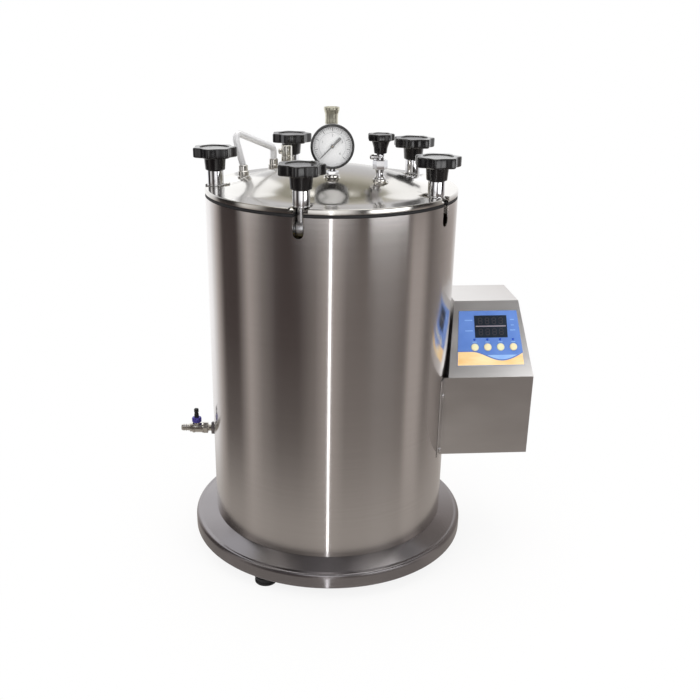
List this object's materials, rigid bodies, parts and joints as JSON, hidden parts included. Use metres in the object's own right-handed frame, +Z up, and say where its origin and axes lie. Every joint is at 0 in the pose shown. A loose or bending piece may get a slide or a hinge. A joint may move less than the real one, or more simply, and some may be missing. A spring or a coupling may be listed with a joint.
{
  "type": "benchtop autoclave",
  "caption": "Top-loading round autoclave: brushed steel jacket on a dished base, domed lid clamped by swing bolts with star knobs, gauge, valves and a sloped control box.",
  "frame": {"origin": "centre of the overall box on the surface that the feet stand on", "axes": "+Z up, +X towards the control box, -Y towards the operator"},
  "size_m": [0.596, 0.474, 0.7309],
  "materials": {
    "brushed_jacket": "circumferentially brushed",
    "polished_steel": "mirror polished",
    "satin_steel": "satin sheet",
    "base_steel": "satin, slightly dull",
    "chrome": "bright plated",
    "steel": "plain machined",
    "rubber": "matt moulded",
    "black_bakelite": "glossy moulded",
    "gauge_black": "stoved enamel",
    "dial_white": "white enamel",
    "glass": "clear",
    "needle_black": "matt",
    "brass": "machined",
    "mineral_wool": "fibrous",
    "membrane": "printed polyester",
    "window": "smoked",
    "led": "tinted lens",
    "button": "embossed",
    "board": "solder mask",
    "transformer": "varnished",
    "black_plastic": "moulded",
    "valve_blue": "anodised",
    "heater": "heat tinted"
  },
  "bodies": {
    "root": {"base_pan": "base_steel", "base_floor": "base_steel", "feet": "rubber", "foot_bolts": "steel", "outer_jacket": "brushed_jacket", "vessel": "polished_steel", "insulation": "mineral_wool", "gasket": "rubber", "clamp_lugs": "steel", "clamp_pins": "steel", "heater_element": "heater", "support_grid": "satin_steel", "temperature_probe": "steel", "drain_pipe": "chrome", "drain_valve_body": "chrome", "box_shell": "satin_steel", "box_floor_plate": "satin_steel", "box_flange": "satin_steel", "box_screws": "chrome", "membrane_panel": "membrane", "display_window": "window", "indicator_leds": "led", "controller_board": "board", "transformer": "transformer", "cable_gland": "black_plastic", "box_conduit": "black_plastic"},
    "lid": {"lid": "polished_steel", "lid_handle": "polished_steel", "gauge_case": "gauge_black", "gauge_dial": "dial_white", "gauge_glass": "glass", "gauge_movement": "chrome", "safety_valve_body": "chrome", "safety_valve_spring": "steel", "release_valve_body": "chrome", "vent_fitting": "chrome"},
    "basket": {"basket": "satin_steel"},
    "bolt_1": {"swing_bolt_1": "chrome"},
    "sleeve_1": {"clamp_sleeve_1": "chrome"},
    "knob_1": {"star_knob_1": "black_bakelite"},
    "bolt_2": {"swing_bolt_2": "chrome"},
    "sleeve_2": {"clamp_sleeve_2": "chrome"},
    "knob_2": {"star_knob_2": "black_bakelite"},
    "bolt_3": {"swing_bolt_3": "chrome"},
    "sleeve_3": {"clamp_sleeve_3": "chrome"},
    "knob_3": {"star_knob_3": "black_bakelite"},
    "bolt_4": {"swing_bolt_4": "chrome"},
    "sleeve_4": {"clamp_sleeve_4": "chrome"},
    "knob_4": {"star_knob_4": "black_bakelite"},
    "bolt_5": {"swing_bolt_5": "chrome"},
    "sleeve_5": {"clamp_sleeve_5": "chrome"},
    "knob_5": {"star_knob_5": "black_bakelite"},
    "needle": {"gauge_needle": "needle_black"},
    "safety_stem": {"safety_valve_stem": "chrome"},
    "release_knob": {"release_valve_knob": "black_bakelite"},
    "drain_handle": {"drain_valve_handle": "valve_blue"},
    "button_1": {"button_1": "button"},
    "button_2": {"button_2": "button"},
    "button_3": {"button_3": "button"},
    "button_4": {"button_4": "button"}
  },
  "joints": [
    {"name": "lid_lift", "type": "slide", "parent": "root", "child": "lid", "axis": [0, 0, 1], "range_m": [0, 0.3]},
    {"name": "basket_lift", "type": "slide", "parent": "root", "child": "basket", "axis": [0, 0, 1], "range_m": [0, 0.03]},
    {"name": "bolt_swing_1", "type": "hinge", "parent": "root", "child": "bolt_1", "pos_m": [-0.08315, -0.17708, 0.586], "axis": [-0.9703, 0.2419, 0], "range_deg": [-90, 0]},
    {"name": "sleeve_swing_1", "type": "hinge", "parent": "lid", "child": "sleeve_1", "pos_m": [-0.08315, -0.17708, 0.586], "axis": [-0.9703, 0.2419, 0], "range_deg": [-90, 0]},
    {"name": "knob_spin_1", "type": "hinge", "parent": "sleeve_1", "child": "knob_1", "pos_m": [-0.08315, -0.17708, 0.6419], "axis": [0, 0, 1], "continuous": true},
    {"name": "bolt_swing_2", "type": "hinge", "parent": "root", "child": "bolt_2", "pos_m": [0.11577, -0.09671, 0.586], "axis": [-0.5299, -0.848, 0], "range_deg": [-90, 0]},
    {"name": "sleeve_swing_2", "type": "hinge", "parent": "lid", "child": "sleeve_2", "pos_m": [0.11577, -0.09671, 0.586], "axis": [-0.5299, -0.848, 0], "range_deg": [-90, 0]},
    {"name": "knob_spin_2", "type": "hinge", "parent": "sleeve_2", "child": "knob_2", "pos_m": [0.11577, -0.09671, 0.6419], "axis": [0, 0, 1], "continuous": true},
    {"name": "bolt_swing_3", "type": "hinge", "parent": "root", "child": "bolt_3", "pos_m": [0.1008, 0.11731, 0.586], "axis": [0.6428, -0.766, 0], "range_deg": [-90, 0]},
    {"name": "sleeve_swing_3", "type": "hinge", "parent": "lid", "child": "sleeve_3", "pos_m": [0.1008, 0.11731, 0.586], "axis": [0.6428, -0.766, 0], "range_deg": [-90, 0]},
    {"name": "knob_spin_3", "type": "hinge", "parent": "sleeve_3", "child": "knob_3", "pos_m": [0.1008, 0.11731, 0.6419], "axis": [0, 0, 1], "continuous": true},
    {"name": "bolt_swing_4", "type": "hinge", "parent": "root", "child": "bolt_4", "pos_m": [-0.10737, 0.16921, 0.586], "axis": [0.9272, 0.3746, 0], "range_deg": [-90, 0]},
    {"name": "sleeve_swing_4", "type": "hinge", "parent": "lid", "child": "sleeve_4", "pos_m": [-0.10737, 0.16921, 0.586], "axis": [0.9272, 0.3746, 0], "range_deg": [-90, 0]},
    {"name": "knob_spin_4", "type": "hinge", "parent": "sleeve_4", "child": "knob_4", "pos_m": [-0.10737, 0.16921, 0.6419], "axis": [0, 0, 1], "continuous": true},
    {"name": "bolt_swing_5", "type": "hinge", "parent": "root", "child": "bolt_5", "pos_m": [-0.22106, -0.01273, 0.586], "axis": [-0.0698, 0.9976, 0], "range_deg": [-90, 0]},
    {"name": "sleeve_swing_5", "type": "hinge", "parent": "lid", "child": "sleeve_5", "pos_m": [-0.22106, -0.01273, 0.586], "axis": [-0.0698, 0.9976, 0], "range_deg": [-90, 0]},
    {"name": "knob_spin_5", "type": "hinge", "parent": "sleeve_5", "child": "knob_5", "pos_m": [-0.22106, -0.01273, 0.6419], "axis": [0, 0, 1], "continuous": true},
    {"name": "needle_turn", "type": "hinge", "parent": "lid", "child": "needle", "pos_m": [-0.039, -0.0835, 0.6879], "axis": [0, 1, 0], "range_deg": [0, 270]},
    {"name": "safety_lift", "type": "slide", "parent": "lid", "child": "safety_stem", "axis": [0, 0, 1], "range_m": [0, 0.003], "stiffness_N_per_m": 2000, "springref_m": -0.002, "deforming": ["safety_valve_spring"]},
    {"name": "release_turn", "type": "hinge", "parent": "lid", "child": "release_knob", "pos_m": [0.033, -0.069, 0.67893], "axis": [0, 0, 1], "range_deg": [0, 360]},
    {"name": "drain_turn", "type": "hinge", "parent": "root", "child": "drain_handle", "pos_m": [-0.27084, 0, 0.206], "axis": [0, 0, 1], "range_deg": [0, 90]},
    {"name": "press_1", "type": "slide", "parent": "root", "child": "button_1", "axis": [-0.0592, 0.846, -0.5299], "range_m": [0, 0.0005], "stiffness_N_per_m": 1500, "springref_m": -0.0005},
    {"name": "press_2", "type": "slide", "parent": "root", "child": "button_2", "axis": [-0.0592, 0.846, -0.5299], "range_m": [0, 0.0005], "stiffness_N_per_m": 1500, "springref_m": -0.0005},
    {"name": "press_3", "type": "slide", "parent": "root", "child": "button_3", "axis": [-0.0592, 0.846, -0.5299], "range_m": [0, 0.0005], "stiffness_N_per_m": 1500, "springref_m": -0.0005},
    {"name": "press_4", "type": "slide", "parent": "root", "child": "button_4", "axis": [-0.0592, 0.846, -0.5299], "range_m": [0, 0.0005], "stiffness_N_per_m": 1500, "springref_m": -0.0005}
  ],
  "couplings": [
    {"joint": "sleeve_swing_1", "follows": "bolt_swing_1", "ratio": 1},
    {"joint": "sleeve_swing_2", "follows": "bolt_swing_2", "ratio": 1},
    {"joint": "sleeve_swing_3", "follows": "bolt_swing_3", "ratio": 1},
    {"joint": "sleeve_swing_4", "follows": "bolt_swing_4", "ratio": 1},
    {"joint": "sleeve_swing_5", "follows": "bolt_swing_5", "ratio": 1}
  ]
}
